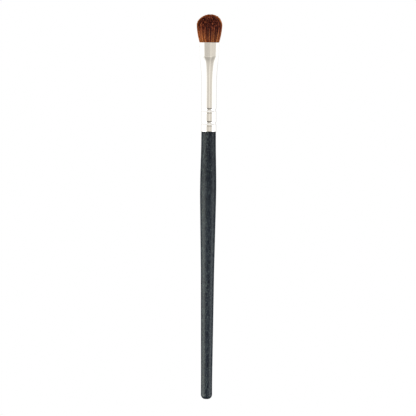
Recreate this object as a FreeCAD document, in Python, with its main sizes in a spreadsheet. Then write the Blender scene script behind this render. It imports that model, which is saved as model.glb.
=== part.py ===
import FreeCAD, Part
import math
import os

import Sketcher
from FreeCAD import Vector

# An eyeshadow brush: a turned handle, a pressed metal ferrule and a tuft of hair.
# Z runs up the brush, X runs across the wide face of the tuft, and the wide face looks along -Y.
# The origin is on the axis, in the middle of the straight end of the handle, where a socket holds it.
# Lengths are in millimetres, and heights in the sketches are taken from the tip of the butt.

# Driving dimensions: alias, value, meaning
SIZES = [
    ("handle_length", 121.6, "tip of the butt to the shoulder under the ferrule"),
    ("butt_diameter", 5.1, "straight end of the handle"),
    ("butt_round", 2.1, "rounding of the tip"),
    ("butt_straight", 7.2, "straight length above the rounding"),
    ("belly_height", 95.4, "thickest place of the handle above the tip"),
    ("belly_swell", 0.38, "belly radius over the neck radius"),
    ("neck_step", 0.15, "ferrule surface over the handle surface at the shoulder"),
    ("shoulder_round", 0.06, "broken edge of the shoulder"),
    ("tenon_length", 15.0, "stub of the handle inside the ferrule"),
    ("tenon_chamfer", 0.6, "lead-in at the end of the tenon"),
    ("tenon_bond", 0.08, "adhesive between tenon and ferrule"),
    ("ferrule_diameter", 6.9, "round end of the ferrule, outside"),
    ("ferrule_wall", 0.3, "sheet thickness"),
    ("ferrule_edge", 0.1, "broken edge at both ends of the ferrule"),
    ("press_run", 10.9, "length over which round turns to flat"),
    ("press_depth", 6.2, "flat length below the mouth"),
    ("crease_width", 8.5, "across the ferrule where the flat begins"),
    ("crease_thickness", 4.0, "through the ferrule where the flat begins"),
    ("mouth_width", 9.14, "across the mouth, outside"),
    ("mouth_thickness", 4.4, "through the mouth, outside"),
    ("crimp_height", 3.5, "lower crimp above the shoulder"),
    ("crimp_spacing", 5.9, "from the lower crimp to the upper one"),
    ("crimp_width", 2.4, "height of one rolled crimp"),
    ("crimp_depth", 0.3, "how far a crimp goes in"),
    ("air_space", 2.5, "from the end of the tenon to the root plug"),
    ("plug_depth", 1.8, "set adhesive under the root ends"),
    ("plug_cover", 0.9, "set adhesive up the sides of the roots"),
    ("root_depth", 4.2, "roots standing in the round part of the ferrule"),
    ("tie_height", 1.5, "root ends to the first turn of thread"),
    ("thread_diameter", 0.35, "tying thread"),
    ("hair_clearance", 0.05, "hair to the inside of the ferrule"),
    ("tuft_length", 12.8, "hair out of the mouth"),
    ("widest_height", 8.1, "widest place of the tuft above the mouth"),
    ("tuft_width", 11.53, "across the tuft at its widest"),
    ("tuft_thickness", 6.6, "through the tuft at its thickest"),
]

THREAD_TURNS = 4
THREAD_VALLEY = 0.7
FERRULE_STATIONS = [0.3, 0.55, 0.75, 0.9]
FLARE_STATIONS = [0.08, 0.2, 0.45, 0.75]
DOME_STATIONS = [0.3, 0.55, 0.75, 0.9, 0.97]

# Shape of the turned outline, as parts of the run from butt to belly and from belly to neck
WAIST_PLACE = 0.57
WAIST_FILL = 0.42
BELLY_EASE = 0.03
NECK_TURN = 0.43
MOST_BUTT_ROUND = 0.45
MOST_EDGE_BREAK = 0.45

# How the pressed sides and faces ease in, and how the tuft swells and closes
SIDE_EASE = 1.2
FACE_EASE = 3.2
FLARE_EASE = 1.8
DOME_EASE = 1.7
DOME_TOP = 0.07

doc = FreeCAD.newDocument("eyeshadow_brush")


def fill_sheet():
    """Write every driving dimension to the sheet under its alias."""
    sizes = doc.addObject("Spreadsheet::Sheet", "dims")
    for row, (alias, size, meaning) in enumerate(SIZES, start=1):
        sizes.set(f"A{row}", meaning)
        sizes.set(f"B{row}", str(size))
        sizes.setAlias(f"B{row}", alias)
    doc.recompute()
    return sizes


sheet = fill_sheet()

# Heights along the brush
TIP = "0"
BUTT_ROUND = f"min(dims.butt_round; dims.butt_diameter * {MOST_BUTT_ROUND})"
STRAIGHT_TOP = f"({BUTT_ROUND} + dims.butt_straight)"
SOCKET = f"({BUTT_ROUND} + dims.butt_straight / 2)"
BELLY = "dims.belly_height"
SHOULDER = "dims.handle_length"
TENON_TOP = "(dims.handle_length + dims.tenon_length)"
PLUG_FOOT = f"({TENON_TOP} + dims.air_space)"
ROOT_END = f"({PLUG_FOOT} + dims.plug_depth)"
BARREL_TOP = f"({ROOT_END} + dims.root_depth)"
CREASE = f"({BARREL_TOP} + dims.press_run)"
MOUTH = f"({CREASE} + dims.press_depth)"
WIDEST = f"({MOUTH} + dims.widest_height)"
TUFT_TOP = f"({MOUTH} + dims.tuft_length)"
TIE_FOOT = f"({ROOT_END} + dims.tie_height)"
TIE_TOP = f"({TIE_FOOT} + dims.thread_diameter * {THREAD_TURNS})"

# Radii about the axis
AXIS = "0"
BUTT_RADIUS = "dims.butt_diameter / 2"
FERRULE_RADIUS = "dims.ferrule_diameter / 2"
BORE_RADIUS = "(dims.ferrule_diameter / 2 - dims.ferrule_wall)"
TENON_RADIUS = f"({BORE_RADIUS} - dims.tenon_bond)"
NECK_RADIUS = "(dims.ferrule_diameter / 2 - dims.neck_step)"
BELLY_RADIUS = f"({NECK_RADIUS} + dims.belly_swell)"
HAIR_INSET = "(dims.ferrule_wall + dims.hair_clearance)"
EDGE_BREAK = f"min(dims.ferrule_edge; dims.ferrule_wall * {MOST_EDGE_BREAK})"
BUNDLE_RADIUS = f"({FERRULE_RADIUS} - {HAIR_INSET})"
KNOT_RADIUS = f"({BUNDLE_RADIUS} - dims.thread_diameter)"

# On the outside a crimp is three arcs of one radius, out, in and out again
CRIMP_RADIUS = "((dims.crimp_width ^ 2 / 16 + dims.crimp_depth ^ 2 / 4) / dims.crimp_depth)"
CRIMP_HEIGHTS = [
    f"({SHOULDER} + dims.crimp_height)",
    f"({SHOULDER} + dims.crimp_height + dims.crimp_spacing)",
]


def size(expression):
    """The present value of an expression on the sheet."""
    return float(sheet.evalExpression(expression))


def between(start, end, part):
    """The expression part of the way from start to end."""
    return f"({start} + ({end} - {start}) * {part:.5f})"


def new_body(label):
    """An empty body whose label names its file, set down so that the socket's height is zero."""
    body = doc.addObject("PartDesign::Body", label)
    body.Label = label
    body.setExpression("Placement.Base.z", f"-{SOCKET}")
    return body


def new_sketch(body, name, plane):
    """A sketch on one of the body's own origin planes."""
    sketch = body.newObject("Sketcher::SketchObject", name)
    support = next(item for item in body.Origin.OriginFeatures if item.Role == plane)
    sketch.AttachmentSupport = (support, [""])
    sketch.MapMode = "FlatFace"
    return sketch


def bind(sketch, constraint, name, expression):
    """Add a dimension to a sketch and tie it to an expression."""
    index = sketch.addConstraint(constraint)
    sketch.renameConstraint(index, name)
    sketch.setExpression(f"Constraints.{name}", expression)


def place_point(sketch, geometry, end, name, radius, height):
    """Fix a point of a profile at a radius and a height."""
    if radius == AXIS:
        sketch.addConstraint(Sketcher.Constraint("PointOnObject", geometry, end, -2))
    else:
        across = Sketcher.Constraint("DistanceX", -1, 1, geometry, end, size(radius))
        bind(sketch, across, f"{name}_radius", radius)
    if height == TIP:
        sketch.addConstraint(Sketcher.Constraint("PointOnObject", geometry, end, -1))
    else:
        up = Sketcher.Constraint("DistanceY", -1, 1, geometry, end, size(height))
        bind(sketch, up, f"{name}_height", height)


def point(radius, height):
    """A profile point at its present size."""
    return Vector(size(radius), size(height), 0)


def add_arc(sketch, start, end, name, arc):
    """An arc between two corners. Gives its index and which of its ends comes first."""
    centre = point(arc["radius_of_centre"], arc["height_of_centre"])
    circle = Part.Circle(centre, Vector(0, 0, 1), (start - centre).Length)
    turn = (start - centre).cross(end - centre).z
    first, last = (start, end) if turn > 0 else (end, start)
    from_angle = math.atan2(first.y - centre.y, first.x - centre.x)
    to_angle = math.atan2(last.y - centre.y, last.x - centre.x)
    geometry = sketch.addGeometry(Part.ArcOfCircle(circle, from_angle, to_angle), False)
    radius = Sketcher.Constraint("Radius", geometry, circle.Radius)
    ends = (1, 2) if turn > 0 else (2, 1)
    return geometry, ends, (radius, f"{name}_bend", arc["bend"])


def add_span(sketch, start, end, name, span):
    """A smooth span between two corners with two inner poles."""
    poles = [start] + [point(*pole) for pole in span["poles"]] + [end]
    curve = Part.BSplineCurve(poles, [4, 4], [0.0, 1.0], False, 3, [1.0] * 4, True)
    geometry = sketch.addGeometry(curve, False)
    sketch.exposeInternalGeometry(geometry)
    for number, pole in enumerate(span["poles"], start=2):
        place_point(sketch, geometry + number, 3, f"{name}_pole_{number}", *pole)
    return geometry


def draw_profile(sketch, corners, curves):
    """A closed outline through the corners, straight where no curve is given after a corner."""
    places = [point(*corner) for corner in corners]
    edges = []
    bends = []
    for number, start in enumerate(places):
        end = places[(number + 1) % len(places)]
        curve = curves.get(number)
        name = f"edge_{number}"
        if curve is None:
            edges.append((sketch.addGeometry(Part.LineSegment(start, end), False), (1, 2)))
        elif "poles" in curve:
            edges.append((add_span(sketch, start, end, name, curve), (1, 2)))
        else:
            geometry, ends, bend = add_arc(sketch, start, end, name, curve)
            edges.append((geometry, ends))
            bends.append(bend)
    for number, (geometry, ends) in enumerate(edges):
        following, next_ends = edges[(number + 1) % len(edges)]
        meeting = Sketcher.Constraint("Coincident", geometry, ends[1], following, next_ends[0])
        sketch.addConstraint(meeting)
    for number, (geometry, ends) in enumerate(edges):
        place_point(sketch, geometry, ends[0], f"corner_{number}", *corners[number])
    for constraint, name, expression in bends:
        bind(sketch, constraint, name, expression)


def turn(body, name, corners, curves):
    """A solid of revolution about Z from a closed profile."""
    sketch = new_sketch(body, f"{name}_profile", "XZ_Plane")
    draw_profile(sketch, corners, curves)
    revolution = body.newObject("PartDesign::Revolution", name)
    revolution.Profile = sketch
    revolution.ReferenceAxis = (sketch, ["V_Axis"])
    revolution.Angle = 360
    return revolution


def crimped_wall(radius, first_corner):
    """Corners and arcs of the outer wall with both crimps, up the axis."""
    corners = []
    curves = {}
    bottom = f"({radius} - dims.crimp_depth)"
    middle = f"({radius} - dims.crimp_depth / 2)"
    for height in CRIMP_HEIGHTS:
        enter = f"({height} - dims.crimp_width / 2)"
        leave = f"({height} + dims.crimp_width / 2)"
        dip = f"({height} - dims.crimp_width / 4)"
        rise = f"({height} + dims.crimp_width / 4)"
        number = first_corner + len(corners)
        corners += [(radius, enter), (middle, dip), (middle, rise), (radius, leave)]
        centres = [
            (f"({radius} - {CRIMP_RADIUS})", enter),
            (f"({bottom} + {CRIMP_RADIUS})", height),
            (f"({radius} - {CRIMP_RADIUS})", leave),
        ]
        for step, (across, up) in enumerate(centres):
            curves[number + step] = {
                "radius_of_centre": across, "height_of_centre": up, "bend": CRIMP_RADIUS,
            }
    return corners, curves


def grooved_wall(radius):
    """Corners of a hidden wall with a straight-sided groove behind each crimp, up the axis."""
    corners = []
    for height in CRIMP_HEIGHTS:
        corners += [
            (radius, f"({height} - dims.crimp_width / 2)"),
            (f"({radius} - dims.crimp_depth)", height),
            (radius, f"({height} + dims.crimp_width / 2)"),
        ]
    return corners


def oval(body, name, height, half_width, half_thickness):
    """A sketch of one oval section across the brush at a height."""
    sketch = new_sketch(body, name, "XY_Plane")
    sketch.setExpression("AttachmentOffset.Base.z", height)
    wide = size(half_width)
    deep = size(half_thickness)
    curve = Part.Ellipse(Vector(wide, 0, 0), Vector(0, deep, 0), Vector(0, 0, 0))
    geometry = sketch.addGeometry(curve, False)
    sketch.exposeInternalGeometry(geometry)
    sketch.addConstraint(Sketcher.Constraint("Coincident", geometry, 3, -1, 1))
    sketch.addConstraint(Sketcher.Constraint("Horizontal", geometry + 1))
    across = Sketcher.Constraint("Distance", geometry + 1, 2 * wide)
    bind(sketch, across, "across", f"2 * ({half_width})")
    through = Sketcher.Constraint("Distance", geometry + 2, 2 * deep)
    bind(sketch, through, "through", f"2 * ({half_thickness})")
    return sketch


def disc(body, name, height, radius):
    """A sketch of one round section across the brush at a height."""
    sketch = new_sketch(body, name, "XY_Plane")
    sketch.setExpression("AttachmentOffset.Base.z", height)
    circle = Part.Circle(Vector(0, 0, 0), Vector(0, 0, 1), size(radius))
    geometry = sketch.addGeometry(circle, False)
    sketch.addConstraint(Sketcher.Constraint("Coincident", geometry, 3, -1, 1))
    bind(sketch, Sketcher.Constraint("Radius", geometry, size(radius)), "reach", radius)
    return sketch


def loft(body, kind, name, sections, ruled):
    """A loft through sections, added to the body or cut from it."""
    feature = body.newObject(f"PartDesign::{kind}", name)
    feature.Profile = sections[0]
    feature.Sections = sections[1:]
    feature.Ruled = ruled
    return feature


def pressed_sections(body, name, inset):
    """Sections of the pressed ferrule, set in from its outside, from the barrel to the mouth."""
    sections = [disc(body, f"{name}_barrel", BARREL_TOP, f"({FERRULE_RADIUS} - {inset})")]
    for number, part in enumerate(FERRULE_STATIONS, start=1):
        height = between(BARREL_TOP, CREASE, part)
        wide = between(FERRULE_RADIUS, "dims.crease_width / 2", part ** SIDE_EASE)
        deep = between(FERRULE_RADIUS, "dims.crease_thickness / 2", part ** FACE_EASE)
        sections.append(oval(body, f"{name}_{number}", height, f"{wide} - {inset}", f"{deep} - {inset}"))
    wide = f"dims.crease_width / 2 - {inset}"
    deep = f"dims.crease_thickness / 2 - {inset}"
    sections.append(oval(body, f"{name}_crease", CREASE, wide, deep))
    wide = f"dims.mouth_width / 2 - {inset}"
    deep = f"dims.mouth_thickness / 2 - {inset}"
    sections.append(oval(body, f"{name}_mouth", MOUTH, wide, deep))
    return sections


def pressed_lofts(body, kind, name, inset, hidden):
    """The press from round to flat, smooth where it is seen, and the flat mouth above its crease."""
    sections = pressed_sections(body, name, inset)
    loft(body, kind, f"{name}_press", sections[:-1], hidden)
    loft(body, kind, f"{name}_flat", sections[-2:], True)
    return sections[-1]


def rim_edges(shape, height):
    """Names of the outer edges that lie all round at one height."""
    flat = []
    for number, edge in enumerate(shape.Edges, start=1):
        box = edge.BoundBox
        if abs(box.ZMin - height) < 1e-4 and abs(box.ZMax - height) < 1e-4:
            flat.append((box.DiagonalLength, f"Edge{number}"))
    widest = max(length for length, _ in flat)
    return [name for length, name in flat if length > widest - 1e-4]


def eased(start, corner, end):
    """A smooth span that leaves start and reaches end along the two sides of a corner."""
    poles = []
    for place in (start, end):
        poles.append(tuple(between(place[axis], corner[axis], 2 / 3) for axis in (0, 1)))
    return {"poles": poles}


def belly_outline():
    """The turned outline from the top of the straight butt to the shoulder: corners and curves."""
    waist = (between(BUTT_RADIUS, BELLY_RADIUS, WAIST_FILL), between(STRAIGHT_TOP, BELLY, WAIST_PLACE))
    ease = f"(({BELLY} - {STRAIGHT_TOP}) * {BELLY_EASE})"
    rise = f"({BELLY} - {ease} - {waist[1]})"
    swell = f"({BELLY_RADIUS} - {waist[0]})"
    slant = f"sqrt({rise} ^ 2 + {swell} ^ 2)"
    cone_end = (
        f"({BELLY_RADIUS} - {ease} * {swell} / {slant})",
        f"({BELLY} - {ease} - {ease} * {rise} / {slant})",
    )
    belly = (BELLY_RADIUS, BELLY)
    neck = (NECK_RADIUS, f"({SHOULDER} - dims.shoulder_round)")
    run = f"({neck[1]} - {BELLY})"
    reach = f"(({run} ^ 2 + dims.belly_swell ^ 2) / 2 / {run})"
    neck_turn = tuple(between(belly[axis], neck[axis], NECK_TURN) for axis in (0, 1))
    corners = [(BUTT_RADIUS, STRAIGHT_TOP), waist, cone_end, belly, neck_turn, neck]
    curves = {
        2: eased(cone_end, (BELLY_RADIUS, f"({BELLY} - {ease})"), belly),
        3: eased(belly, (BELLY_RADIUS, f"({BELLY} + {reach} * {NECK_TURN})"), neck_turn),
        4: eased(neck_turn, (NECK_RADIUS, f"({neck[1]} - {reach} * {1 - NECK_TURN})"), neck),
    }
    return corners, curves


def make_handle():
    """The turned stick: rounded butt, long taper, belly, shoulder and a tenon with crimp grooves."""
    body = new_body("handle")
    corners = [
        (AXIS, TIP),
        (f"({BUTT_RADIUS} - {BUTT_ROUND})", TIP),
        (BUTT_RADIUS, BUTT_ROUND),
    ]
    curves = {1: {
        "radius_of_centre": f"({BUTT_RADIUS} - {BUTT_ROUND})",
        "height_of_centre": BUTT_ROUND,
        "bend": BUTT_ROUND,
    }}
    outline, bends = belly_outline()
    for number, bend in bends.items():
        curves[len(corners) + number] = bend
    corners += outline
    corners += [(f"({NECK_RADIUS} - dims.shoulder_round)", SHOULDER), (TENON_RADIUS, SHOULDER)]
    corners += grooved_wall(TENON_RADIUS)
    corners += [
        (TENON_RADIUS, f"({TENON_TOP} - dims.tenon_chamfer)"),
        (f"({TENON_RADIUS} - dims.tenon_chamfer)", TENON_TOP),
        (AXIS, TENON_TOP),
    ]
    turn(body, "turned_stick", corners, curves)
    return body


def make_handle_glue():
    """The adhesive sleeve that fills the gap from the shoulder to the tenon's lead-in."""
    body = new_body("handle_glue")
    top = f"({TENON_TOP} - dims.tenon_chamfer)"
    corners = [(TENON_RADIUS, SHOULDER), (BORE_RADIUS, SHOULDER)]
    corners += grooved_wall(BORE_RADIUS)
    corners += [(BORE_RADIUS, top), (TENON_RADIUS, top)]
    corners += grooved_wall(TENON_RADIUS)[::-1]
    turn(body, "bond_sleeve", corners, {})
    return body


def make_ferrule():
    """The metal tube: a round barrel with two crimps, pressed flat towards the mouth."""
    body = new_body("ferrule")
    corners = [
        (BORE_RADIUS, SHOULDER),
        (f"({FERRULE_RADIUS} - {EDGE_BREAK})", SHOULDER),
        (FERRULE_RADIUS, f"({SHOULDER} + {EDGE_BREAK})"),
    ]
    outside, curves = crimped_wall(FERRULE_RADIUS, len(corners))
    corners += outside + [(FERRULE_RADIUS, BARREL_TOP), (BORE_RADIUS, BARREL_TOP)]
    corners += grooved_wall(BORE_RADIUS)[::-1]
    turn(body, "barrel", corners, curves)
    pressed_lofts(body, "AdditiveLoft", "outside", "0", False)
    pressed_lofts(body, "SubtractiveLoft", "bore", "dims.ferrule_wall", True)
    doc.recompute()
    tube = body.Tip
    broken = body.newObject("PartDesign::Chamfer", "mouth_edge")
    broken.Base = (tube, rim_edges(tube.Shape, size(MOUTH)))
    broken.setExpression("Size", EDGE_BREAK)
    return body


def make_root_glue():
    """The plug of set adhesive across the bore, with the root ends standing in it."""
    body = new_body("root_glue")
    cover = f"({ROOT_END} + dims.plug_cover)"
    corners = [
        (AXIS, PLUG_FOOT),
        (BORE_RADIUS, PLUG_FOOT),
        (BORE_RADIUS, cover),
        (KNOT_RADIUS, cover),
        (KNOT_RADIUS, ROOT_END),
        (AXIS, ROOT_END),
    ]
    turn(body, "plug", corners, {})
    return body


def make_tie_thread():
    """The turns of thread side by side round the knot, pressed together, each with its own ridge."""
    body = new_body("tie_thread")
    valley = f"({KNOT_RADIUS} + dims.thread_diameter * {THREAD_VALLEY})"
    crest = f"({KNOT_RADIUS} + dims.thread_diameter)"
    corners = [(KNOT_RADIUS, TIE_FOOT)]
    for number in range(THREAD_TURNS):
        corners.append((valley, f"({TIE_FOOT} + dims.thread_diameter * {number})"))
        corners.append((crest, f"({TIE_FOOT} + dims.thread_diameter * {number + 0.5})"))
    corners += [(valley, TIE_TOP), (KNOT_RADIUS, TIE_TOP)]
    turn(body, "turns", corners, {})
    return body


def tuft_sections(body, mouth):
    """Sections of the hair out of the mouth: a flare to the widest place, then a dome."""
    start_width = f"(dims.mouth_width / 2 - {HAIR_INSET})"
    start_depth = f"(dims.mouth_thickness / 2 - {HAIR_INSET})"
    sections = [mouth]
    for number, part in enumerate(FLARE_STATIONS, start=1):
        swell = 1 - (1 - part) ** FLARE_EASE
        wide = between(start_width, "dims.tuft_width / 2", swell)
        deep = between(start_depth, "dims.tuft_thickness / 2", swell)
        sections.append(oval(body, f"flare_{number}", between(MOUTH, WIDEST, part), wide, deep))
    sections.append(oval(body, "widest", WIDEST, "dims.tuft_width / 2", "dims.tuft_thickness / 2"))
    for number, part in enumerate(DOME_STATIONS, start=1):
        share = math.sqrt(1 - part ** DOME_EASE)
        wide = f"dims.tuft_width / 2 * {share:.5f}"
        deep = f"dims.tuft_thickness / 2 * {share:.5f}"
        sections.append(oval(body, f"dome_{number}", between(WIDEST, TUFT_TOP, part), wide, deep))
    wide = f"dims.tuft_width / 2 * {DOME_TOP}"
    deep = f"dims.tuft_thickness / 2 * {DOME_TOP}"
    sections.append(oval(body, "dome_top", TUFT_TOP, wide, deep))
    return sections


def make_hair_tuft():
    """The hair: a tied knot in the barrel, a bundle that fills the press, and the tuft outside."""
    body = new_body("hair_tuft")
    corners = [
        (AXIS, ROOT_END),
        (KNOT_RADIUS, ROOT_END),
        (KNOT_RADIUS, TIE_TOP),
        (BUNDLE_RADIUS, f"({TIE_TOP} + dims.thread_diameter)"),
        (BUNDLE_RADIUS, BARREL_TOP),
        (AXIS, BARREL_TOP),
    ]
    turn(body, "knot", corners, {})
    mouth = pressed_lofts(body, "AdditiveLoft", "bundle", HAIR_INSET, True)
    loft(body, "AdditiveLoft", "tuft", tuft_sections(body, mouth), False)
    return body


def check(bodies):
    """Stop if any object failed, or any piece has no sound solid."""
    for item in doc.Objects:
        if "Invalid" in item.State or "Error" in item.State:
            raise RuntimeError(f"{item.Name} failed: {item.State}")
    for body in bodies:
        if body.Shape.isNull() or not body.Shape.isValid() or len(body.Shape.Solids) != 1:
            raise RuntimeError(f"{body.Label} is not one sound solid")


def main():
    """Build every piece, check it and write its file."""
    bodies = [
        make_handle(),
        make_handle_glue(),
        make_ferrule(),
        make_root_glue(),
        make_tie_thread(),
        make_hair_tuft(),
    ]
    doc.recompute()
    check(bodies)
    os.makedirs("parts", exist_ok=True)
    for body in bodies:
        body.Shape.exportStep(f"parts/{body.Label}.step")
        box = body.Shape.BoundBox
        print(f"{body.Label}: {body.Shape.Volume:.2f} mm3, z {box.ZMin:.2f} to {box.ZMax:.2f}")


main()
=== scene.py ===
# Eyeshadow brush: the finished look of its hair, plated ferrule and lacquered handle.
import math

import bmesh
import bpy
from mathutils import Matrix, Vector


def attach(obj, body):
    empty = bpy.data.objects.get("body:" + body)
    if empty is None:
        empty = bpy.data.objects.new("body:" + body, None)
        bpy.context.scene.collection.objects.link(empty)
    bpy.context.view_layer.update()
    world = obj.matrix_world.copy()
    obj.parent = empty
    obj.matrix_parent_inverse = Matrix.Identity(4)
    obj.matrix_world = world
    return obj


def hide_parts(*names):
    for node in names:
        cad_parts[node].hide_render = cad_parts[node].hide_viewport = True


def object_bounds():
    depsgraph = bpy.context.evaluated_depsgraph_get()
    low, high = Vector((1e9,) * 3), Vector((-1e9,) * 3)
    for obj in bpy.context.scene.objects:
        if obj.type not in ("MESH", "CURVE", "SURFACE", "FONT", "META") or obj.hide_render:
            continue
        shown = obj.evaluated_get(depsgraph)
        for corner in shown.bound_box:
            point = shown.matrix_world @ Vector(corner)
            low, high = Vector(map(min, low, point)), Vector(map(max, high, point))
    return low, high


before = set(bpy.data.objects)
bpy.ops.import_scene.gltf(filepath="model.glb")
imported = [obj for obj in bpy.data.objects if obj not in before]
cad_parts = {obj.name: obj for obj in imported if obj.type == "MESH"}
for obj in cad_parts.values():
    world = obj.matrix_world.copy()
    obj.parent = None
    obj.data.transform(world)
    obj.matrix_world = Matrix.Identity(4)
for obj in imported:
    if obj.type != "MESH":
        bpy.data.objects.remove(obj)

cad_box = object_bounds()

MM = 0.001

# Heights along the brush, in millimetres from the middle of the straight butt
# Where the handle's painted shade starts; it darkens the lacquer up to the shoulder
PAINTED_SHADE_FOOT = 60.0
SHOULDER = 115.9
CRIMPS = (119.4, 125.3)
ROOT_END = 135.2
THREAD_FOOT = 136.7
THREAD_TOP = 138.1
BARREL_TOP = 139.4
CREASE = 150.3
MOUTH = 156.5
WIDEST = 164.6
LEAN_HEIGHTS = (165.8, 168.9)
TUFT_TOP = 169.4

# Half sizes across the brush, in millimetres: the width, then the depth
KNOT_RADIUS = 2.75
BARREL_RADIUS = 3.45
CREASE_HALF = (4.25, 2.00)
MOUTH_HALF = (4.57, 2.20)
TUFT_FOOT_HALF = (4.48, 2.02)
TUFT_HALF = (5.83, 3.34)

# The ferrule, in millimetres
FERRULE_WALL = 0.3
WALL_AND_ROOM = 0.35
EDGE_BREAK = 0.1
CRIMP_LIP = 1.35
CRIMP_WIDTH = 2.5
PRESS_EASE = (1.2, 3.2)
CREASE_BEND = 0.45
CREASE_REACH = 3.0
FERRULE_SIDES = 160

# A crimp's side, from its upper lip downwards: millimetres below the lip, and the slope there
CRIMP_SLOPES = ((0.0, 0.0), (0.12, 0.1), (0.45, 0.26), (0.52, 0.62), (0.80, 0.62), (0.90, 0.0), (1.15, 0.0),
                (1.22, -0.56), (1.58, -0.56), (1.68, -0.3), (1.90, -0.06), (2.20, -0.06), (2.28, 0.12),
                (2.40, 0.12), (2.47, 0.0))

# The hair, in millimetres
HAIR_RADIUS = 0.045
HAIR_SIDES = 3
HAIRS = 6000
HAIR_RINGS = {"inner_hair": 0, "middle_hair": 2000, "outer_hair": 4000}
FIRST_SEED = 11
TIP_UNEVENNESS = 0.2
TIP_LEAN = 0.34
WAVINESS = 0.35
LOCKS = 9.0
LOCK_PULL = 0.35
FLARE_EASE = 1.8
DOME_EASE = 1.85
DOME_RISE = TUFT_TOP - WIDEST
ROOT_SPREAD = 0.42
GOLDEN_TURN = math.pi * (3 - math.sqrt(5))

# A hair's wave: its size, its stretch along the hair and how far apart two hairs' waves are
WAVE_SCALE = 1.6
WAVE_STRETCH = 2.0
WAVE_SPREAD = 40.0

# A hair's joints as shares of its length: few inside the ferrule, and more where it shows
JOINT_PLACES = (0.0, 0.09, 0.22, 0.33, 0.43, 0.52, 0.60, 0.655, 0.70, 0.74, 0.78, 0.82, 0.86, 0.897,
                0.933, 0.968, 1.0)
TAPER_START = 0.80
TIP_THICKNESS = 0.5

# Heights at which the bundle's half sizes are drawn, and the size that fills the curve's range
BUNDLE_HEIGHTS = (ROOT_END, 136.6, THREAD_TOP, BARREL_TOP, 142.0, 145.0, 148.0, CREASE, 153.0, MOUTH,
                  156.8, 157.6, 158.6, 160.0, 161.5, 163.0, WIDEST, 167.0, TUFT_TOP)
HALF_SIZE_SPAN = 6.0

# The hair's tone: shares of lock and of single hair, and the lighter feet by shares of width and height:
# painted light at the left foot, and a paler right foot
LOCK_TONE = 0.65
HAIR_TONE = 0.35
PALE_TONE = 0.45
LIT_LEFT_FOOT = (-0.66, -0.88)
LIT_LEFT_FOOT_RISE = (0.6, 0.1)
PALE_RIGHT = (0.78, 0.94)
PALE_RIGHT_RISE = (0.8, 0.3)

# The painted backlit glow along the outline: its crest in millimetres from the tip and from the outline, its
# flanks in shares of width
CREST_TIP = (0.75, 0.2)
CREST_DEPTH = (1.0, 0.5)
CREST_SCATTER = 0.5
CREST_MIDDLE = 0.65
CREST_TO_SIDES = 0.4
FLANK = (0.92, 1.10)
FLANK_SCATTER = 0.16
FLANK_DARK_LOCK = 0.6
FLANK_TO_LIGHT_LOCK = 0.4

# The thread round the knot, in millimetres
THREAD_DIAMETER = 0.35
THREAD_TURNS = 4
THREAD_STEPS = 48
THREAD_SIDES = 10

# The light tent that the plating mirrors, in degrees across and up. Its slot for the camera: brightness
# across, as the pressed flat and the round tube see it, and brightness by height
TENT_RADIUS = 1.6
TENT_BACK = 142
TENT_TOP = 52
TENT_SHADE = 28
SLOT_LEFT = -31
SLOT_RIGHT = 47
CARD_RIGHT = 100
CARD_HEIGHTS = ((34, 46), (-22, -5))
FLAT_TO_TUBE = ((-3, 0.0), (0, 1.0))
FLAT_ACROSS = ((-31, 0.58), (0, 0.58), (6, 0.70), (20, 0.73), (28, 0.76), (36, 0.71), (43, 0.72))
TUBE_ACROSS = ((-31, 0.70), (2, 0.70), (5, 0.95), (13, 0.95), (18, 0.68), (30, 0.70), (43, 0.72))
SLOT_UP = ((-45, 0.85), (-30, 0.22), (-10, 0.22), (-7, 1.0), (0, 1.0), (4, 0.96), (10, 0.94), (20, 0.87),
           (30, 0.79), (40, 0.68), (46, 0.65))
TENT_WHITE = Vector((1.16, 1.15, 1.13))
TENT_WARM = Vector((1.05, 0.98, 0.865))
TENT_GREY = Vector((0.66, 0.65, 0.64))

# The rest of the studio, in metres
FLOOR_RADIUS = 6.0
LEFT_TINT = (0.96, 1.0, 0.86)
RIGHT_TINT = (0.95, 1.0, 0.97)
PLAIN_TINT = (1.0, 1.0, 1.0)
SKY_DARK = -0.5
SKY_WHITE = -0.02

# The photograph's frame
FRAME_HEIGHT = 189.17 * MM
FRAME_CENTRE = 81.2 * MM
BRUSH_LEAN = math.radians(0.4746)
CAMERA_DISTANCE = 1.0


def swatch(red, green, blue):
    """A screen colour, 0 to 255, as the linear colour that a shader takes."""
    linear = []
    for level in (red, green, blue):
        share = level / 255
        linear.append(share / 12.92 if share <= 0.04045 else ((share + 0.055) / 1.055) ** 2.4)
    return (*linear, 1.0)


def place_in_scene(name, data):
    piece = bpy.data.objects.new(name, data)
    bpy.context.scene.collection.objects.link(piece)
    return piece


# Nodes, for materials and for Geometry Nodes


def add(tree, kind, **settings):
    node = tree.nodes.new(kind)
    for name, value in settings.items():
        setattr(node, name, value)
    return node


def feed(tree, socket, source):
    """Join an output to an input, or set the input to a plain value."""
    if isinstance(source, bpy.types.NodeSocket):
        tree.links.new(source, socket)
    else:
        socket.default_value = source


def feed_all(tree, node, sources):
    """Feed a node's first inputs in their order, and give back its first output."""
    for socket, source in zip(node.inputs, sources):
        feed(tree, socket, source)
    return node.outputs[0]


def work(tree, operation, *sources):
    return feed_all(tree, add(tree, "ShaderNodeMath", operation=operation), sources)


def vector_work(tree, operation, *sources):
    return feed_all(tree, add(tree, "ShaderNodeVectorMath", operation=operation), sources)


def scaled(tree, vector, factor):
    node = add(tree, "ShaderNodeVectorMath", operation="SCALE")
    feed(tree, node.inputs["Vector"], vector)
    feed(tree, node.inputs["Scale"], factor)
    return node.outputs[0]


def joined(tree, x, y, z):
    return feed_all(tree, add(tree, "ShaderNodeCombineXYZ"), (x, y, z))


def parted(tree, vector):
    node = add(tree, "ShaderNodeSeparateXYZ")
    tree.links.new(vector, node.inputs[0])
    return node.outputs


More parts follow.
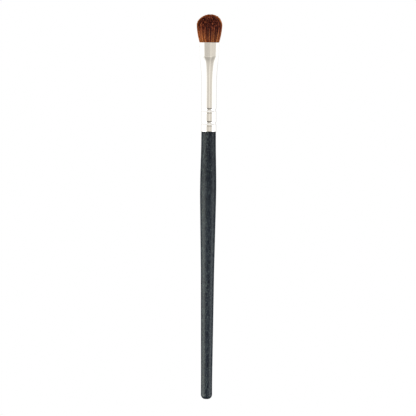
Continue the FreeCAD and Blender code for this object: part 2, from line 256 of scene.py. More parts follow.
def remap(tree, value, low, high, new_low=0.0, new_high=1.0, smooth=True):
    node = add(tree, "ShaderNodeMapRange")
    node.interpolation_type = "SMOOTHSTEP" if smooth else "LINEAR"
    return feed_all(tree, node, (value, low, high, new_low, new_high))


# Materials


def new_finish(name):
    finish = bpy.data.materials.new(name)
    finish.use_nodes = True
    tree = finish.node_tree
    return finish, tree, tree.nodes["Principled BSDF"]


def in_millimetres(tree, stretch=(1.0, 1.0, 1.0)):
    place = add(tree, "ShaderNodeTexCoord")
    mapping = add(tree, "ShaderNodeMapping")
    mapping.inputs["Scale"].default_value = [share / MM for share in stretch]
    tree.links.new(place.outputs["Object"], mapping.inputs["Vector"])
    return mapping.outputs["Vector"]


def noise(tree, vector, scale, detail=2.0, roughness=0.5):
    node = add(tree, "ShaderNodeTexNoise")
    tree.links.new(vector, node.inputs["Vector"])
    node.inputs["Scale"].default_value = scale
    node.inputs["Detail"].default_value = detail
    node.inputs["Roughness"].default_value = roughness
    return node.outputs["Fac"]


def ramp(tree, value, stops):
    node = add(tree, "ShaderNodeValToRGB")
    points = node.color_ramp.elements
    while len(points) < len(stops):
        points.new(0.5)
    for point, (place, colour) in zip(points, stops):
        point.position = place
        point.color = colour
    tree.links.new(value, node.inputs["Fac"])
    return node.outputs["Color"]


def mixed(tree, share, first, second):
    node = add(tree, "ShaderNodeMix", data_type="RGBA")
    feed(tree, node.inputs[0], share)
    feed(tree, node.inputs[6], first)
    feed(tree, node.inputs[7], second)
    return node.outputs[2]


def raise_bump(tree, shader, height, strength, distance):
    bump = add(tree, "ShaderNodeBump")
    bump.inputs["Strength"].default_value = strength
    bump.inputs["Distance"].default_value = distance * MM
    tree.links.new(height, bump.inputs["Height"])
    tree.links.new(bump.outputs["Normal"], shader.inputs["Normal"])


def lacquer_finish():
    """Charcoal satin lacquer over wood, with fine lighter and darker flecks along the grain, and painted
    shade darkening it towards the ferrule.
    """
    finish, tree, shader = new_finish("charcoal_lacquer")
    grain = noise(tree, in_millimetres(tree, (1.0, 1.0, 0.35)), scale=1.3, detail=3.0, roughness=0.6)
    fleck = noise(tree, in_millimetres(tree, (1.0, 1.0, 0.6)), scale=2.6, detail=2.0, roughness=0.7)
    body = ramp(tree, grain, [
        (0.30, swatch(18, 22, 33)), (0.50, swatch(30, 37, 50)), (0.68, swatch(48, 56, 64))])
    height = parted(tree, in_millimetres(tree))["Z"]
    # Painted shade: the lacquer darkens towards the ferrule, standing in for the light falling off there
    painted_shade = remap(tree, height, PAINTED_SHADE_FOOT, SHOULDER, 0.0, 0.28)
    body = mixed(tree, painted_shade, body, swatch(0, 0, 0))
    light = remap(tree, fleck, 0.56, 0.68)
    dark = remap(tree, fleck, 0.44, 0.34)
    body = mixed(tree, work(tree, "MULTIPLY", light, 0.7), body, swatch(88, 100, 94))
    body = mixed(tree, work(tree, "MULTIPLY", dark, 0.7), body, swatch(10, 8, 17))
    tree.links.new(body, shader.inputs["Base Color"])
    tree.links.new(remap(tree, grain, 0.3, 0.7, 0.36, 0.50), shader.inputs["Roughness"])
    shader.inputs["Specular IOR Level"].default_value = 0.5
    raise_bump(tree, shader, fleck, strength=0.4, distance=0.03)
    return finish


def plating_finish():
    """Bright polished plating, with faint drawing lines along the tube."""
    finish, tree, shader = new_finish("bright_plating")
    lines = noise(tree, in_millimetres(tree, (1.0, 1.0, 0.03)), scale=3.2, detail=3.0, roughness=0.55)
    clouds = noise(tree, in_millimetres(tree), scale=0.22)
    tone = ramp(tree, lines, [(0.30, (0.86, 0.85, 0.83, 1.0)), (0.65, (0.95, 0.945, 0.93, 1.0))])
    tree.links.new(tone, shader.inputs["Base Color"])
    shader.inputs["Metallic"].default_value = 1.0
    tree.links.new(remap(tree, clouds, 0.3, 0.7, 0.06, 0.12), shader.inputs["Roughness"])
    raise_bump(tree, shader, lines, strength=0.12, distance=0.02)
    return finish


def hair_finish():
    """Brown hair in lighter and darker locks, dark towards the tips, with a painted backlit glow in warm
    colour along its edge.
    """
    finish, tree, shader = new_finish("brown_hair")
    lock = add(tree, "ShaderNodeAttribute", attribute_name="hair_tone").outputs["Fac"]
    rise = add(tree, "ShaderNodeAttribute", attribute_name="hair_rise").outputs["Fac"]
    backlit_glow = add(tree, "ShaderNodeAttribute", attribute_name="hair_backlit_glow").outputs["Fac"]
    mottle = noise(tree, in_millimetres(tree, (1.0, 1.0, 0.45)), scale=1.9, detail=2.0, roughness=0.6)
    mottle = remap(tree, mottle, 0.32, 0.68)
    scatter = remap(tree, rise, 0.25, 0.65, 0.0, 0.75)
    tone = work(tree, "MULTIPLY_ADD", work(tree, "SUBTRACT", mottle, lock), scatter, lock)
    foot = ramp(tree, tone, [
        (0.10, swatch(124, 48, 24)), (0.50, swatch(163, 79, 36)), (0.90, swatch(222, 150, 84))])
    crown = ramp(tree, tone, [
        (0.12, swatch(44, 17, 22)), (0.60, swatch(112, 45, 28)), (0.95, swatch(180, 100, 62))])
    climb = work(tree, "SQRT", remap(tree, rise, 0.0, 0.5, smooth=False))
    colour = mixed(tree, climb, foot, crown)
    # Painted backlight: tips along the outline and the flanks are coloured warm and light, as hair glows with
    # light from behind
    backlit_colour = ramp(tree, backlit_glow, [(0.45, swatch(148, 61, 15)), (1.0, swatch(220, 136, 49))])
    colour = mixed(tree, remap(tree, backlit_glow, 0.05, 0.7, 0.0, 0.8), colour, backlit_colour)
    tree.links.new(colour, shader.inputs["Base Color"])
    tree.links.new(remap(tree, tone, 0.0, 1.0, 0.38, 0.55), shader.inputs["Roughness"])
    shader.inputs["Specular IOR Level"].default_value = 0.2
    return finish


def thread_finish():
    """Cream cotton thread with its twist."""
    finish, tree, shader = new_finish("cotton_thread")
    twist = add(tree, "ShaderNodeTexWave", bands_direction="DIAGONAL")
    tree.links.new(in_millimetres(tree), twist.inputs["Vector"])
    twist.inputs["Scale"].default_value = 3.0
    twist.inputs["Distortion"].default_value = 1.5
    tone = ramp(tree, twist.outputs["Fac"], [(0.2, swatch(214, 203, 180)), (0.8, swatch(244, 237, 220))])
    tree.links.new(tone, shader.inputs["Base Color"])
    shader.inputs["Roughness"].default_value = 0.85
    raise_bump(tree, shader, twist.outputs["Fac"], strength=0.6, distance=0.05)
    return finish


def adhesive_finish():
    """Set amber adhesive, with uneven colour and small bubbles."""
    finish, tree, shader = new_finish("amber_adhesive")
    clouds = noise(tree, in_millimetres(tree), scale=0.8, detail=3.0, roughness=0.6)
    tone = ramp(tree, clouds, [(0.3, swatch(178, 132, 62)), (0.7, swatch(228, 194, 128))])
    tree.links.new(tone, shader.inputs["Base Color"])
    bubbles = add(tree, "ShaderNodeTexVoronoi")
    tree.links.new(in_millimetres(tree), bubbles.inputs["Vector"])
    bubbles.inputs["Scale"].default_value = 2.5
    tree.links.new(remap(tree, clouds, 0.3, 0.7, 0.12, 0.3), shader.inputs["Roughness"])
    raise_bump(tree, shader, bubbles.outputs["Distance"], strength=0.3, distance=0.05)
    return finish


# Sizes of the tube and of the hair inside and above it


def tube_half(height, way):
    """Half of the tube's width (way 0) or depth (way 1) outside, up to the mouth and without the crimps."""
    if height <= BARREL_TOP:
        return BARREL_RADIUS
    if height <= CREASE:
        share = ((height - BARREL_TOP) / (CREASE - BARREL_TOP)) ** PRESS_EASE[way]
        return BARREL_RADIUS + (CREASE_HALF[way] - BARREL_RADIUS) * share
    share = (height - CREASE) / (MOUTH - CREASE)
    return CREASE_HALF[way] + (MOUTH_HALF[way] - CREASE_HALF[way]) * share


def bundle_half(height, way):
    """Half of the bundle's width or depth at a height, for the hairs' middle lines."""
    if height <= THREAD_TOP:
        half = KNOT_RADIUS
    elif height <= MOUTH:
        half = tube_half(height, way) - WALL_AND_ROOM
    else:
        share = min((height - MOUTH) / (WIDEST - MOUTH), 1.0)
        half = TUFT_HALF[way] - (TUFT_HALF[way] - TUFT_FOOT_HALF[way]) * (1 - share) ** FLARE_EASE
    return half - HAIR_RADIUS


# The tuft: every hair runs from the knot, through the pressed mouth, to its own place on the dome


def drawn_curve(tree, value, points, handle):
    node = add(tree, "ShaderNodeFloatCurve")
    curve = node.mapping.curves[0]
    while len(curve.points) < len(points):
        curve.points.new(0.5, 0.5)
    for point, place in zip(curve.points, points):
        point.location = place
        point.handle_type = handle
    node.mapping.update()
    tree.links.new(value, node.inputs["Value"])
    return node.outputs["Value"]


def half_curve(tree, place, way):
    """The bundle's half size as a curve over its length, in metres."""
    points = [((height - ROOT_END) / (TUFT_TOP - ROOT_END), bundle_half(height, way) / HALF_SIZE_SPAN)
              for height in BUNDLE_HEIGHTS]
    return work(tree, "MULTIPLY", drawn_curve(tree, place, points, "AUTO_CLAMPED"), HALF_SIZE_SPAN * MM)


def joint_places(tree, along):
    """The joints' places along a hair, from their even places on the straight one."""
    points = [(number / (len(JOINT_PLACES) - 1), place) for number, place in enumerate(JOINT_PLACES)]
    return drawn_curve(tree, along, points, "VECTOR")


def new_tree(name, inputs):
    tree = bpy.data.node_groups.new(name, "GeometryNodeTree")
    tree.is_modifier = True
    for label, kind in inputs:
        tree.interface.new_socket(name=label, in_out="INPUT", socket_type=kind)
    tree.interface.new_socket(name="Geometry", in_out="OUTPUT", socket_type="NodeSocketGeometry")
    return tree, add(tree, "NodeGroupInput").outputs


def keep_value(tree, geometry, name, value):
    node = add(tree, "GeometryNodeStoreNamedAttribute", data_type="FLOAT", domain="POINT")
    tree.links.new(geometry, node.inputs["Geometry"])
    node.inputs["Name"].default_value = name
    feed(tree, node.inputs["Value"], value)
    return node.outputs["Geometry"]


def kept_value(tree, name):
    node = add(tree, "GeometryNodeInputNamedAttribute", data_type="FLOAT")
    node.inputs["Name"].default_value = name
    return node.outputs[0]


def random_value(tree, low, high, seed):
    node = add(tree, "FunctionNodeRandomValue", data_type="FLOAT")
    feed(tree, node.inputs[2], low)
    feed(tree, node.inputs[3], high)
    feed(tree, node.inputs["Seed"], seed)
    return node.outputs[1]


def round_tube(tree, path, radius, sides, scale=None):
    """A closed round tube along a path."""
    ring = add(tree, "GeometryNodeCurvePrimitiveCircle")
    ring.inputs["Resolution"].default_value = sides
    tree.links.new(radius, ring.inputs["Radius"])
    tube = add(tree, "GeometryNodeCurveToMesh")
    tree.links.new(path, tube.inputs["Curve"])
    tree.links.new(ring.outputs[0], tube.inputs["Profile Curve"])
    if scale is not None:
        tree.links.new(scale, tube.inputs["Scale"])
    tube.inputs["Fill Caps"].default_value = True
    return tube.outputs[0]


def close_tree(tree, geometry, material):
    """Smooth shading, realized instances and the material, in that order."""
    smooth = add(tree, "GeometryNodeSetShadeSmooth")
    realize = add(tree, "GeometryNodeRealizeInstances")
    coat = add(tree, "GeometryNodeSetMaterial")
    end = add(tree, "NodeGroupOutput")
    tree.links.new(geometry, smooth.inputs["Geometry"])
    tree.links.new(smooth.outputs["Geometry"], realize.inputs["Geometry"])
    tree.links.new(realize.outputs["Geometry"], coat.inputs["Geometry"])
    tree.links.new(material, coat.inputs["Material"])
    tree.links.new(coat.outputs["Geometry"], end.inputs["Geometry"])


def hair_roots(tree, given):
    """Points spread evenly over a disc of radius 1, each with a random value of its own."""
    number = work(tree, "ADD", add(tree, "GeometryNodeInputIndex").outputs[0], given["First Hair"])
    part = work(tree, "DIVIDE", work(tree, "ADD", number, 0.5), given["Whole Count"])
    out = work(tree, "POWER", part, ROOT_SPREAD)
    turn = work(tree, "MULTIPLY", number, GOLDEN_TURN)
    spot = joined(tree, work(tree, "MULTIPLY", out, work(tree, "COSINE", turn)),
                  work(tree, "MULTIPLY", out, work(tree, "SINE", turn)), 0.0)
    roots = add(tree, "GeometryNodePoints")
    tree.links.new(given["Hair Count"], roots.inputs["Count"])
    tree.links.new(spot, roots.inputs["Position"])
    return keep_value(tree, roots.outputs[0], "hair_pick", random_value(tree, 0.0, 1.0, given["Seed"]))


def straight_hairs(tree, roots):
    """One straight hair of length 1 on each root."""
    line = add(tree, "GeometryNodeCurvePrimitiveLine")
    line.inputs["Start"].default_value = (0, 0, 0)
    line.inputs["End"].default_value = (0, 0, 1)
    joints = add(tree, "GeometryNodeResampleCurve")
    tree.links.new(line.outputs[0], joints.inputs["Curve"])
    joints.inputs["Count"].default_value = len(JOINT_PLACES)
    stand = add(tree, "GeometryNodeInstanceOnPoints")
    tree.links.new(roots, stand.inputs["Points"])
    tree.links.new(joints.outputs[0], stand.inputs["Instance"])
    realize = add(tree, "GeometryNodeRealizeInstances")
    tree.links.new(stand.outputs[0], realize.inputs["Geometry"])
    return realize.outputs[0]


def lock_tone(tree, lock_colour, pick, across, rise):
    """How light a hair is: by its lock, by itself, and paler at the foot of both flanks, the left one being
    painted light from the left side.
    """
    lock = remap(tree, parted(tree, lock_colour)[0], 0.2, 0.8)
    tone = work(tree, "MULTIPLY_ADD", lock, LOCK_TONE, work(tree, "MULTIPLY", pick, HAIR_TONE))
    # Painted light: the left foot of the tuft is lightened as if lit from the left
    painted_light_left = work(tree, "MULTIPLY", remap(tree, across, *LIT_LEFT_FOOT), remap(tree, rise, *LIT_LEFT_FOOT_RISE))
    pale_right = work(tree, "MULTIPLY", remap(tree, across, *PALE_RIGHT), remap(tree, rise, *PALE_RIGHT_RISE))
    pale = work(tree, "MAXIMUM", painted_light_left, pale_right)
    return work(tree, "MINIMUM", work(tree, "MULTIPLY_ADD", pale, PALE_TONE, tone), 1.0)


def painted_backlight_share(tree, across, dome, to_tip, pick, tone):
    """How strongly a joint carries the painted backlit glow: at the tips along the dome's outline, and at the
    flanks.
    """
    aside = work(tree, "ABSOLUTE", across)
    broad = work(tree, "MAXIMUM", work(tree, "SUBTRACT", 1.0, work(tree, "MULTIPLY", across, across)), 0.02)
    outline = work(tree, "POWER", broad, 1 / DOME_EASE)
    below = work(tree, "MULTIPLY", work(tree, "SUBTRACT", outline, dome), DOME_RISE * MM)
    slant = work(tree, "DIVIDE", aside, work(tree, "SQRT", broad))
    slant = work(tree, "MULTIPLY", slant, DOME_RISE / TUFT_HALF[0])
    inward = work(tree, "DIVIDE", below, work(tree, "SQRT", work(tree, "MULTIPLY_ADD", slant, slant, 1.0)))
    inward = work(tree, "MULTIPLY_ADD", pick, CREST_SCATTER * MM, inward)
    crest = work(tree, "MULTIPLY", remap(tree, to_tip, CREST_TIP[0] * MM, CREST_TIP[1] * MM),
                 remap(tree, inward, CREST_DEPTH[0] * MM, CREST_DEPTH[1] * MM))
    crest = work(tree, "MULTIPLY", crest, work(tree, "MULTIPLY_ADD", aside, CREST_TO_SIDES, CREST_MIDDLE))
    flank = remap(tree, work(tree, "MULTIPLY_ADD", pick, FLANK_SCATTER, aside), *FLANK)
    flank = work(tree, "MULTIPLY", flank,
                 work(tree, "MULTIPLY_ADD", tone, FLANK_TO_LIGHT_LOCK, FLANK_DARK_LOCK))
    return work(tree, "MAXIMUM", crest, flank)


def hair_tree():
    tree, given = new_tree("grow_hair", [
        ("Hair Count", "NodeSocketInt"), ("First Hair", "NodeSocketInt"), ("Whole Count", "NodeSocketInt"),
        ("Hair Radius", "NodeSocketFloat"), ("Tip Unevenness", "NodeSocketFloat"),
        ("Waviness", "NodeSocketFloat"), ("Locks", "NodeSocketFloat"), ("Lock Pull", "NodeSocketFloat"),
        ("Seed", "NodeSocketInt"), ("Material", "NodeSocketMaterial")])
    hairs = straight_hairs(tree, hair_roots(tree, given))
    across, deep, along = parted(tree, add(tree, "GeometryNodeInputPosition").outputs[0])
    pick = kept_value(tree, "hair_pick")

    # Where the hair ends on the dome
    spread = work(tree, "ADD", work(tree, "MULTIPLY", across, across), work(tree, "MULTIPLY", deep, deep))
    left = work(tree, "MAXIMUM", work(tree, "SUBTRACT", 1.0, spread), 0.0)
    dome = work(tree, "POWER", left, 1 / DOME_EASE)
    short = work(tree, "MULTIPLY", pick, given["Tip Unevenness"])
    even_top = work(tree, "MULTIPLY_ADD", dome, DOME_RISE * MM, WIDEST * MM)
    top = work(tree, "SUBTRACT", even_top, short)

    # The height of each joint, closer together towards the tip
    length = work(tree, "SUBTRACT", top, ROOT_END * MM)
    height = work(tree, "MULTIPLY_ADD", joint_places(tree, along), length, ROOT_END * MM)
    whole = remap(tree, height, ROOT_END * MM, TUFT_TOP * MM, smooth=False)
    rise = remap(tree, height, MOUTH * MM, TUFT_TOP * MM, smooth=False)

    # Locks: hairs draw together towards their tips
    cells = add(tree, "ShaderNodeTexVoronoi")
    flat = joined(tree, across, deep, 0.0)
    tree.links.new(flat, cells.inputs["Vector"])
    tree.links.new(given["Locks"], cells.inputs["Scale"])
    pull = work(tree, "MULTIPLY", work(tree, "MULTIPLY", rise, rise), given["Lock Pull"])
    towards = vector_work(tree, "SUBTRACT", cells.outputs["Position"], flat)
    gathered = parted(tree, vector_work(tree, "ADD", flat, scaled(tree, towards, pull)))

    # A slight wave of its own
    wave = add(tree, "ShaderNodeTexNoise", noise_dimensions="4D")
    tree.links.new(joined(tree, across, deep, work(tree, "MULTIPLY", along, WAVE_STRETCH)),
                   wave.inputs["Vector"])
    tree.links.new(work(tree, "MULTIPLY", pick, WAVE_SPREAD), wave.inputs["W"])
    wave.inputs["Scale"].default_value = WAVE_SCALE
    drift = vector_work(tree, "SUBTRACT", wave.outputs["Color"], (0.5, 0.5, 0.5))
    drift = scaled(tree, drift, work(tree, "MULTIPLY", rise, given["Waviness"]))

    # The bent hair, leaning to one side at the tip
    lean = remap(tree, height, LEAN_HEIGHTS[0] * MM, LEAN_HEIGHTS[1] * MM, 0.0, TIP_LEAN * MM)
    spot = joined(tree, work(tree, "MULTIPLY_ADD", gathered[0], half_curve(tree, whole, 0), lean),
                  work(tree, "MULTIPLY", gathered[1], half_curve(tree, whole, 1)), height)

    # Values that the finish and the tube read
    tone = lock_tone(tree, cells.outputs["Color"], pick, across, rise)
    # The painted backlit glow, kept for the finish
    backlit_glow = painted_backlight_share(tree, across, dome, work(tree, "SUBTRACT", top, height), pick, tone)
    for name, value in (("hair_tone", tone), ("hair_rise", rise), ("hair_backlit_glow", backlit_glow), ("hair_along", along)):
        hairs = keep_value(tree, hairs, name, value)

    bend = add(tree, "GeometryNodeSetPosition")
    tree.links.new(hairs, bend.inputs["Geometry"])
    tree.links.new(vector_work(tree, "ADD", spot, drift), bend.inputs["Position"])
    taper = remap(tree, kept_value(tree, "hair_along"), TAPER_START, 1.0, 1.0, TIP_THICKNESS)
    tube = round_tube(tree, bend.outputs[0], given["Hair Radius"], HAIR_SIDES, taper)
    close_tree(tree, tube, given["Material"])
    return tree


def thread_tree():
    tree, given = new_tree("wind_thread", [
        ("Turns", "NodeSocketFloat"), ("Knot Radius", "NodeSocketFloat"),
        ("Thread Diameter", "NodeSocketFloat"), ("Foot Height", "NodeSocketFloat"),
        ("Material", "NodeSocketMaterial")])
    half = work(tree, "MULTIPLY", given["Thread Diameter"], 0.5)
    run = work(tree, "ADD", given["Knot Radius"], half)
    turns = work(tree, "SUBTRACT", given["Turns"], 1.0)
    spiral = add(tree, "GeometryNodeCurveSpiral")
    spiral.inputs["Resolution"].default_value = THREAD_STEPS
    tree.links.new(turns, spiral.inputs["Rotations"])
    tree.links.new(run, spiral.inputs["Start Radius"])
    tree.links.new(run, spiral.inputs["End Radius"])
    tree.links.new(work(tree, "MULTIPLY", turns, given["Thread Diameter"]), spiral.inputs["Height"])
    lift = add(tree, "GeometryNodeTransform")
    tree.links.new(round_tube(tree, spiral.outputs[0], half, THREAD_SIDES), lift.inputs["Geometry"])
    tree.links.new(joined(tree, 0.0, 0.0, work(tree, "ADD", given["Foot Height"], half)),
                   lift.inputs["Translation"])
    close_tree(tree, lift.outputs[0], given["Material"])
    return tree


def grow(name, tree, values):
    """Run a tree with these values, and give back its plain mesh as one piece."""
    seed = place_in_scene(name + "_maker", bpy.data.meshes.new(name + "_maker"))
    maker = seed.modifiers.new("maker", "NODES")
    maker.node_group = tree
    for socket in tree.interface.items_tree:
        if socket.in_out == "INPUT":
            maker[socket.identifier] = values[socket.name]
    ready = seed.evaluated_get(bpy.context.evaluated_depsgraph_get())
    mesh = bpy.data.meshes.new_from_object(ready)
    mesh.name = name
    bpy.data.objects.remove(seed)
    return place_in_scene(name, mesh)


def finish_piece(piece, node):
    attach(piece, "root")
    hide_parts(node)


def make_hair():
    tree = hair_tree()
    coat = hair_finish()
    for number, (name, first) in enumerate(HAIR_RINGS.items()):
        piece = grow(name, tree, {
            "Hair Count": HAIRS // len(HAIR_RINGS), "First Hair": first, "Whole Count": HAIRS,
            "Hair Radius": HAIR_RADIUS * MM, "Tip Unevenness": TIP_UNEVENNESS * MM,
            "Waviness": WAVINESS * MM, "Locks": LOCKS, "Lock Pull": LOCK_PULL,
            "Seed": FIRST_SEED + number, "Material": coat})
        finish_piece(piece, "hair_tuft")


def make_thread():
    piece = grow("wound_thread", thread_tree(), {
        "Turns": THREAD_TURNS, "Knot Radius": KNOT_RADIUS * MM, "Thread Diameter": THREAD_DIAMETER * MM,
        "Foot Height": THREAD_FOOT * MM, "Material": thread_finish()})
    finish_piece(piece, "tie_thread")


# The ferrule: a round tube with two crimps, pressed to a flat oval from the crease to the mouth


def crimp_depth(below):
    """How deep a crimp is at a distance below its upper lip, added up from its slopes."""
    depth = 0.0
    for (start, slope), (end, next_slope) in zip(CRIMP_SLOPES, CRIMP_SLOPES[1:]):
        run = min(max(below - start, 0.0), end - start)
        depth += run * (slope + (next_slope - slope) * run / (end - start) / 2)
    return depth


def crease_bend(height, turn):
    """The crease dips at the middle of each face and rises at the sides."""
    near = max(0.0, 1 - abs(height - CREASE) / CREASE_REACH)
    return CREASE_BEND * math.cos(2 * turn) * near * near * (3 - 2 * near)


def ferrule_half(height, way):
    """Half of the ferrule's width or depth outside, with the crimps."""
    half = tube_half(height, way)
    for middle in CRIMPS:
        half -= crimp_depth(middle + CRIMP_LIP - height)
    return half


def steps(low, high, size):
    count = max(1, round((high - low) / size))
    return [low + (high - low) * number / count for number in range(count)]


def ferrule_heights():
    """Heights of the wall's rings, close together at the crimps, the press and the crease."""
    heights = []
    start = SHOULDER + EDGE_BREAK
    for middle in CRIMPS:
        lip = middle + CRIMP_LIP
        heights += [start] + steps(start + 0.1, lip - CRIMP_WIDTH, size=0.7)
        heights += steps(lip - CRIMP_WIDTH, lip, size=0.05)
        start = lip
    heights += steps(start, BARREL_TOP, size=1.2)
    heights += steps(BARREL_TOP, CREASE - 0.1, size=0.4)
    heights += [CREASE - 0.1, CREASE + 0.05, CREASE + 0.3]
    heights += steps(CREASE + 0.7, MOUTH - EDGE_BREAK, size=0.6)
    return heights + [MOUTH - EDGE_BREAK * 2, MOUTH - EDGE_BREAK]


def ferrule_section():
    """The ferrule's closed section, as heights and insets: foot, wall, lip and bore."""
    wall = [(height, 0.0) for height in ferrule_heights()]
    foot = [(SHOULDER, EDGE_BREAK), (SHOULDER + EDGE_BREAK * 0.3, EDGE_BREAK * 0.3)]
    lip = [(MOUTH - EDGE_BREAK * 0.3, EDGE_BREAK * 0.3), (MOUTH, EDGE_BREAK)]
    bore = [(MOUTH, FERRULE_WALL - EDGE_BREAK * 0.5), (MOUTH - EDGE_BREAK * 0.5, FERRULE_WALL)]
    bore += [(height, FERRULE_WALL) for height, _ in reversed(wall[:-1])]
    bore += [(SHOULDER, FERRULE_WALL)]
    return foot + wall + lip + bore


def make_ferrule():
    form = bmesh.new()
    rings = []
    for height, inset in ferrule_section():
        wide = ferrule_half(height, 0) - inset
        deep = ferrule_half(height, 1) - inset
        ring = []
        for number in range(FERRULE_SIDES):
            turn = 2 * math.pi * number / FERRULE_SIDES
            spot = Vector((wide * math.cos(turn), deep * math.sin(turn), height + crease_bend(height, turn)))
            ring.append(form.verts.new(spot * MM))
        rings.append(ring)
    for ring, above in zip(rings, rings[1:] + rings[:1]):
        for number in range(FERRULE_SIDES):
            after = (number + 1) % FERRULE_SIDES
            form.faces.new((ring[number], ring[after], above[after], above[number]))
    bmesh.ops.recalc_face_normals(form, faces=form.faces)
    mesh = bpy.data.meshes.new("plated_ferrule")
    form.to_mesh(mesh)
    form.free()
    mesh.shade_smooth()
    mesh.materials.append(plating_finish())
    piece = place_in_scene("plated_ferrule", mesh)
    finish_piece(piece, "ferrule")
    return piece


def coat_node(node, finish):
    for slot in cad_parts[node].material_slots:
        slot.material = finish


# Studio


def make_floor():
    mesh = bpy.data.meshes.new("floor")
    form = bmesh.new()
    bmesh.ops.create_circle(form, cap_ends=True, segments=96, radius=FLOOR_RADIUS)
    bmesh.ops.translate(form, verts=form.verts, vec=(0, 0, cad_box[0].z))
    form.to_mesh(mesh)
    form.free()
    floor = place_in_scene("floor", mesh)
    finish, tree, shader = new_finish("pale_floor")
    clouds = noise(tree, in_millimetres(tree), scale=0.01)
    tree.links.new(ramp(tree, clouds, [(0.3, (0.84, 0.84, 0.84, 1)), (0.7, (0.88, 0.88, 0.88, 1))]),
                   shader.inputs["Base Color"])
    shader.inputs["Roughness"].default_value = 0.9
    mesh.materials.append(finish)
    floor.visible_glossy = False
    floor.visible_diffuse = False
    floor.visible_shadow = False


def light_only(lamp, pieces):
    """Let a light fall on these pieces and on nothing else."""
    lit = bpy.data.collections.new(lamp.name + "_lights")
    for piece in pieces:
        lit.objects.link(piece)
    lamp.light_linking.receiver_collection = lit


def between(value, stops):
    """The value read off a row of stops, straight between two of them."""
    low_place, low_level = stops[0]
    for place, level in stops:
        if value <= place:
            share = (value - low_place) / (place - low_place) if place > low_place else 1.0
            return low_level + (level - low_level) * max(share, 0.0)
        low_place, low_level = place, level
    return low_level


def tent_glow(turn, lift):
    """The tent's colour in a direction: turn from the camera's side, lift above the level, in degrees."""
    if turn < -TENT_BACK:
        return TENT_GREY * 1.2
    if turn > TENT_BACK:
        return TENT_GREY
    if SLOT_LEFT < turn < SLOT_RIGHT:
        if lift > TENT_TOP:
            return TENT_WHITE
        on_tube = between(lift, FLAT_TO_TUBE)
        across = between(turn, FLAT_ACROSS) * (1 - on_tube) + between(turn, TUBE_ACROSS) * on_tube
        return TENT_WARM * across * between(lift, SLOT_UP)
    if SLOT_RIGHT <= turn < CARD_RIGHT and any(low < lift < high for low, high in CARD_HEIGHTS):
        return TENT_GREY
    return TENT_WHITE * (0.86 if lift > TENT_SHADE else 1.0)


def make_tent(receiver):
    """A light tent round the brush, seen only in the plating, with a slot for the camera."""
    mesh = bpy.data.meshes.new("tent")
    form = bmesh.new()
    bmesh.ops.create_uvsphere(form, u_segments=180, v_segments=90, radius=TENT_RADIUS)
    glow = form.verts.layers.float_color.new("glow")
    for vert in form.verts:
        turn = math.degrees(math.atan2(vert.co.x, -vert.co.y))
        lift = math.degrees(math.asin(max(-1.0, min(1.0, vert.co.z / TENT_RADIUS))))
        vert[glow] = (*tent_glow(turn, lift), 1.0)
    bmesh.ops.translate(form, verts=form.verts, vec=(0, 0, BARREL_TOP * MM))
    form.to_mesh(mesh)
    form.free()
    tent = place_in_scene("tent", mesh)
    finish = bpy.data.materials.new("tent_cloth")
    finish.use_nodes = True
    tree = finish.node_tree
    tree.nodes.clear()
    colour = add(tree, "ShaderNodeAttribute", attribute_name="glow")
    lamp = add(tree, "ShaderNodeEmission")
    end = add(tree, "ShaderNodeOutputMaterial")
    tree.links.new(colour.outputs["Color"], lamp.inputs["Color"])
    tree.links.new(lamp.outputs[0], end.inputs["Surface"])
    mesh.materials.append(finish)
    tent.visible_camera = False
    tent.visible_diffuse = False
    tent.visible_shadow = False
    tent.visible_transmission = False
    light_only(tent, [receiver])


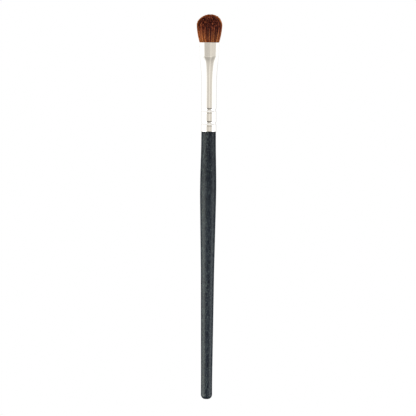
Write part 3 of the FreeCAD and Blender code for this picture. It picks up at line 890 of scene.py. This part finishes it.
def make_softbox(name, turn, lift, distance, size, glow, tint):
    """A soft rectangular light, turned round from the camera's side and lifted, aimed at the brush."""
    light = bpy.data.lights.new(name, "AREA")
    light.shape = "RECTANGLE"
    light.size, light.size_y = size
    light.energy = glow * math.pi * size[0] * size[1]
    light.color = tint
    turn, lift = math.radians(turn), math.radians(lift)
    away = Vector((math.sin(turn) * math.cos(lift), -math.cos(turn) * math.cos(lift), math.sin(lift)))
    box = place_in_scene(name, light)
    box.location = Vector((0, 0, FRAME_CENTRE)) + away * distance
    box.rotation_euler = away.to_track_quat("Z", "Y").to_euler()
    box.visible_camera = False
    return box


def make_world():
    """White above and at the level, and darker below."""
    world = bpy.data.worlds.new("studio")
    world.use_nodes = True
    tree = world.node_tree
    way = parted(tree, add(tree, "ShaderNodeTexCoord").outputs["Generated"])
    sky = ramp(tree, remap(tree, way["Z"], SKY_DARK, SKY_WHITE), [
        (0.0, (0.12, 0.12, 0.12, 1)), (1.0, (1, 1, 1, 1))])
    tree.links.new(sky, tree.nodes["Background"].inputs["Color"])
    bpy.context.scene.world = world


def make_studio(bright_piece):
    brush = [piece for piece in bpy.context.scene.objects if piece.type == "MESH"]
    make_floor()
    make_tent(bright_piece)
    left = make_softbox("left_softbox", turn=-72, lift=-24, distance=0.75, size=(0.88, 0.6), glow=3.9,
                        tint=LEFT_TINT)
    right = make_softbox("right_softbox", turn=76, lift=-24, distance=0.75, size=(0.45, 0.6), glow=3.5,
                         tint=RIGHT_TINT)
    top = make_softbox("top_softbox", turn=-25, lift=62, distance=0.8, size=(0.6, 0.6), glow=2.5,
                       tint=PLAIN_TINT)
    light_only(left, brush)
    light_only(right, brush)
    top.visible_glossy = False
    make_world()
    bpy.context.scene.view_settings.view_transform = "Standard"


def make_camera():
    lens = bpy.data.cameras.new("camera")
    lens.type = "ORTHO"
    lens.ortho_scale = FRAME_HEIGHT
    lens.clip_start = 0.01
    lens.clip_end = 10
    camera = place_in_scene("camera", lens)
    upright = Matrix.Rotation(math.radians(90), 4, "X")
    lean = Matrix.Rotation(BRUSH_LEAN, 4, "Z")
    camera.matrix_world = Matrix.Translation((0, -CAMERA_DISTANCE, FRAME_CENTRE)) @ upright @ lean
    bpy.context.scene.camera = camera


make_camera()
make_hair()
make_thread()
bright_ferrule = make_ferrule()
coat_node("handle", lacquer_finish())
resin = adhesive_finish()
coat_node("handle_glue", resin)
coat_node("root_glue", resin)
make_studio(bright_ferrule)
